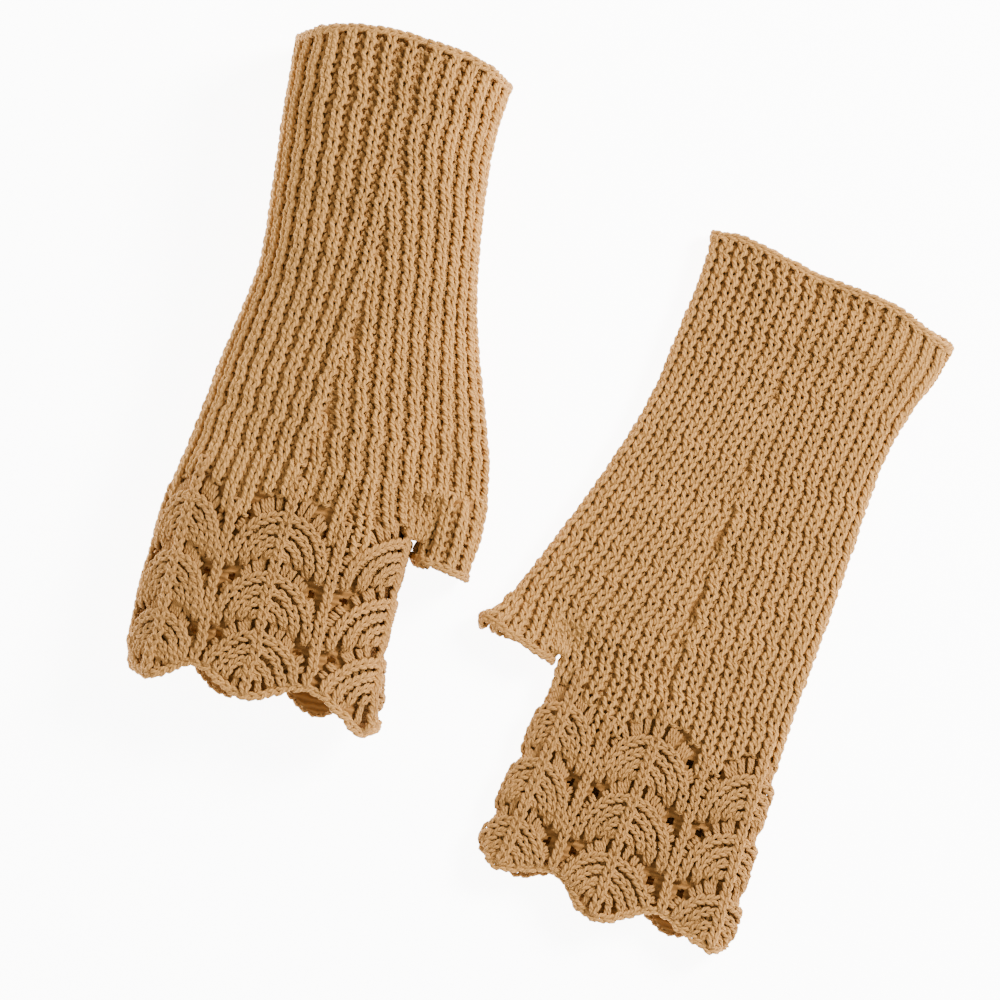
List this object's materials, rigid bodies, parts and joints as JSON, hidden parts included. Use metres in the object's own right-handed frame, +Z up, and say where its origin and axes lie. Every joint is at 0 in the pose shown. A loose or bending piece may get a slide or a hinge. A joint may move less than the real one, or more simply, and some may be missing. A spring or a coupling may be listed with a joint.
{
  "type": "fingerless gloves",
  "caption": "Pair of knitted fingerless gloves: ribbed cuffs and hands, thumb openings and scalloped lace bands over the fingers.",
  "frame": {"origin": "middle of the pair's box, on the surface that the gloves lie on", "axes": "+Z up, out of the backs of the hands; +Y from the right glove's fingers towards its cuff; +X from the right glove towards the left glove"},
  "size_m": [0.2254, 0.2484, 0.0487],
  "materials": {
    "rib_yarn": "matte plied yarn, ribbed knit",
    "lace_yarn": "matte plied yarn, open lace knit",
    "edge_yarn": "matte plied yarn, rolled edge"
  },
  "bodies": {
    "right_hand": {"right_wrist": "rib_yarn", "right_back": "rib_yarn", "right_palm": "rib_yarn", "right_thumb_gusset": "rib_yarn", "right_knuckles": "rib_yarn"},
    "right_forearm": {"right_cast_on_edge": "edge_yarn", "right_cuff": "rib_yarn"},
    "right_thumb_part": {"right_thumb": "rib_yarn", "right_thumb_hem": "edge_yarn"},
    "right_fingers": {"right_lace_back": "lace_yarn", "right_lace_palm": "lace_yarn", "right_scallops_back": "edge_yarn", "right_scallops_palm": "edge_yarn"},
    "left_hand": {"left_wrist": "rib_yarn", "left_back": "rib_yarn", "left_palm": "rib_yarn", "left_thumb_gusset": "rib_yarn", "left_knuckles": "rib_yarn"},
    "left_forearm": {"left_cast_on_edge": "edge_yarn", "left_cuff": "rib_yarn"},
    "left_thumb_part": {"left_thumb": "rib_yarn", "left_thumb_hem": "edge_yarn"},
    "left_fingers": {"left_lace_back": "lace_yarn", "left_lace_palm": "lace_yarn", "left_scallops_back": "edge_yarn", "left_scallops_palm": "edge_yarn"}
  },
  "joints": [
    {"name": "gloves_apart", "type": "slide", "parent": "right_hand", "child": "left_hand", "axis": [1, 0, 0], "range_m": [0, 0.06]},
    {"name": "right_wrist_bend", "type": "hinge", "parent": "right_hand", "child": "right_forearm", "pos_m": [-0.06965, 0.05872, 0.0225], "axis": [1, 0, 0], "range_deg": [-30, 30], "deforming": ["right_wrist"]},
    {"name": "right_knuckle_bend", "type": "hinge", "parent": "right_hand", "child": "right_fingers", "pos_m": [-0.07085, -0.01428, 0.018], "axis": [1, 0, 0], "range_deg": [-25, 25], "deforming": ["right_knuckles"]},
    {"name": "right_thumb_spread", "type": "hinge", "parent": "right_hand", "child": "right_thumb_part", "pos_m": [-0.03485, -0.00428, 0.012], "axis": [0, 0, 1], "range_deg": [0, 12], "deforming": ["right_thumb_gusset"]},
    {"name": "left_wrist_bend", "type": "hinge", "parent": "left_hand", "child": "left_forearm", "pos_m": [0.05983, 0.02389, 0.0062], "axis": [0.9895, -0.1444, 0], "range_deg": [-30, 45], "deforming": ["left_wrist"]},
    {"name": "left_knuckle_bend", "type": "hinge", "parent": "left_hand", "child": "left_fingers", "pos_m": [0.05226, -0.04877, 0.0062], "axis": [0.9895, -0.1444, 0], "range_deg": [-40, 30], "deforming": ["left_knuckles"]},
    {"name": "left_thumb_lift", "type": "hinge", "parent": "left_hand", "child": "left_thumb_part", "pos_m": [0.01423, -0.03312, 0.0059], "axis": [0.1444, 0.9895, 0], "range_deg": [0, 40], "deforming": ["left_thumb_gusset"]}
  ]
}
